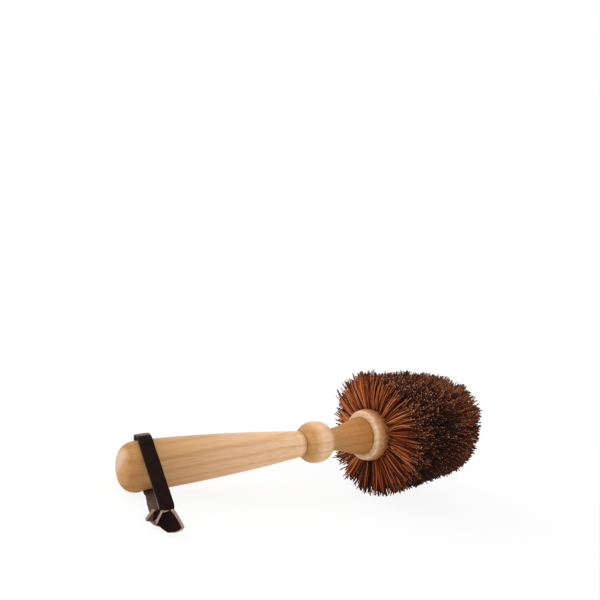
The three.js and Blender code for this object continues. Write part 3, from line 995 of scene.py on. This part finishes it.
def lay_fibre_map(mesh, tones, dark_tips):
    """Gives each fibre a narrow strip of the map at its own tone, from root to tip."""
    ring_verts = FIBRE_SIDES * FIBRE_RINGS
    corner = np.empty(len(mesh.loops), dtype=np.int32)
    mesh.loops.foreach_get("vertex_index", corner)
    fibre = corner // ring_verts
    ring = corner % ring_verts // FIBRE_SIDES
    side = corner % FIBRE_SIDES
    across = np.asarray(tones)[fibre] * MAP_TONES + MAP_FIRST_TONE + side * MAP_SIDE_STEP
    # Tips with more painted shade reach further into the map's dark band.
    tip = MAP_PALE_TIP + MAP_DARK_TIP * np.asarray(dark_tips)[fibre]
    up = ring / (FIBRE_RINGS - 1) * tip + MAP_ROOT
    starts = np.empty(len(mesh.polygons), dtype=np.int32)
    mesh.polygons.foreach_get("loop_start", starts)
    low = np.minimum.reduceat(ring, starts)
    high = np.maximum.reduceat(ring, starts)
    counts = np.diff(np.append(starts, len(corner)))
    is_cap = low == high
    cap_corner = np.repeat(is_cap, counts) & (ring == FIBRE_RINGS - 1)
    up = np.where(cap_corner, MAP_CUT_END + MAP_CUT_STEP * (side % 2), up)
    layer = mesh.uv_layers.new(name=FIBRE_MAP)
    layer.uv.foreach_set("vector", np.stack([across, up], 1).astype(np.float32).ravel())
    mesh.polygons.foreach_set("use_smooth", ~is_cap)


def make_fibres(name, tufts, finish):
    """One piece of all the fibres of these tufts, each a thin closed rod."""
    curve = bpy.data.curves.new(name, "CURVE")
    curve.dimensions = "3D"
    curve.bevel_depth = FIBRE_RADIUS * MM
    curve.bevel_resolution = 0
    tones = []
    dark_tips = []
    for root, direction, usual_tone, dark_tip in tufts:
        for points, tone in tuft_fibres(root, direction, usual_tone):
            spline = curve.splines.new("POLY")
            spline.points.add(len(points) - 1)
            thick = chance.uniform(THINNEST_FIBRE, THICKEST_FIBRE)
            for point, place in zip(spline.points, points):
                point.co = (*place, 1)
                point.radius = thick
            spline.points[-1].radius = thick * TIP_TAPER
            tones.append(tone)
            dark_tips.append(dark_tip)
    holder = bpy.data.objects.new(name + "_lines", curve)
    bpy.context.scene.collection.objects.link(holder)
    mesh = evaluated_mesh(holder)
    bpy.data.objects.remove(holder)
    close_fibres(mesh)
    lay_fibre_map(mesh, tones, dark_tips)
    mesh.materials.clear()
    return link(name, mesh, [finish])


# Floor and light.
FLOOR_RADIUS = 4.0
FLOOR_DROP = 0.0002
FLOOR_GLOW = 0.90
FLOOR_SHADOW = 0.10
AMBIENT = 0.80


def seen_rays(finish):
    """1 for rays that show a surface to the camera, straight, by a shine or through glass."""
    ray = finish.node("ShaderNodeLightPath", output="Is Camera Ray")
    glossy = Wire(finish, ray.socket.node.outputs["Is Glossy Ray"])
    through = Wire(finish, ray.socket.node.outputs["Is Transmission Ray"])
    return ray + glossy + through


def make_floor():
    """A pale floor that reads white to the camera and keeps a soft shadow by the brush."""
    shape = bmesh.new()
    bmesh.ops.create_circle(shape, cap_ends=True, segments=96, radius=FLOOR_RADIUS)
    mesh = bpy.data.meshes.new("floor")
    shape.to_mesh(mesh)
    shape.free()
    mesh.transform(Matrix.Translation((0, 0, -FLOOR_DROP)))
    paper = new_finish("floor_paper")
    place = paper.node("ShaderNodeTexCoord", output="Object")
    away = paper.node("ShaderNodeVectorMath", {"operation": "LENGTH"}, {0: place}, "Value")
    share = FLOOR_GLOW + FLOOR_SHADOW * paper.between(away, 0.16, 0.34)
    lit = paper.node("ShaderNodeBsdfDiffuse", None, {"Color": (0.93, 0.93, 0.93, 1)})
    white = paper.node("ShaderNodeEmission", None, {"Color": (1, 1, 1, 1), "Strength": 1.0})
    both = paper.node("ShaderNodeMixShader", None,
                      {0: seen_rays(paper) * share, 1: lit, 2: white})
    paper.node("ShaderNodeOutputMaterial", None, {"Surface": both})
    floor = link("floor", mesh, [paper.owner])


def make_world():
    """Even white light, and white to the camera."""
    world = bpy.data.worlds.new("white_studio")
    bpy.context.scene.world = world
    studio = Finish(world)
    ambient = studio.node("ShaderNodeBackground", None,
                          {"Color": (1, 1, 1, 1), "Strength": AMBIENT})
    white = studio.node("ShaderNodeBackground", None, {"Color": (1, 1, 1, 1), "Strength": 1.0})
    both = studio.node("ShaderNodeMixShader", None,
                       {0: seen_rays(studio), 1: ambient, 2: white})
    studio.node("ShaderNodeOutputWorld", None, {"Surface": both})


def add_lamp(name, place, target, size, power):
    lamp = bpy.data.lights.new(name, "AREA")
    lamp.shape = "DISK"
    lamp.size = size
    lamp.energy = power
    holder = bpy.data.objects.new(name, lamp)
    holder.location = place
    holder.rotation_mode = "QUATERNION"
    holder.rotation_quaternion = (Vector(target) - Vector(place)).to_track_quat("-Z", "Y")
    bpy.context.scene.collection.objects.link(holder)


# The scene.
place_camera()
bpy.context.scene.view_settings.view_transform = "Standard"

leathers = [leather_grain(), leather_flesh(), leather_edge()]
strap, strap_path = make_strap(leathers)
knot = make_knot(leathers)
for thong_piece, node in ((strap, "thong_loop"), (knot, "thong_knot")):
    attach(thong_piece, "thong")
    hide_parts(node)

brush_pieces = [
    (make_handle(handle_wood()), "handle", "handle_wood"),
    (make_block(block_wood()), "brush_block", "block_wood"),
]
fibre_finish = plant_fibre()
for fibre_name, fibre_node, tufts in (
    ("fibres_at_collar", "fibre_rows_at_collar", row_tufts((0, 1, 2))),
    ("fibres_in_middle", "fibre_rows_in_middle", row_tufts((3, 4, 5))),
    ("fibres_at_front", "fibre_rows_at_front", row_tufts((6, 7))),
    ("fibres_on_end", "fibre_at_end", end_tufts()),
):
    brush_pieces.append((make_fibres(fibre_name, tufts, fibre_finish), fibre_node, "plant_fibre"))
for piece, node, finish_slot in brush_pieces:
    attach(piece, "brush")
    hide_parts(node)

make_floor()
make_world()
add_lamp("top_light", (-0.62, 0.32, 1.08), (0, 0, 0.03), 0.7, 4.2)
add_lamp("left_light", (-0.95, 0.42, 0.50), (-0.05, 0, 0.03), 0.4, 2.0)
add_lamp("front_light", (-0.45, -0.90, 0.30), (0, 0, 0.03), 0.5, 0.7)
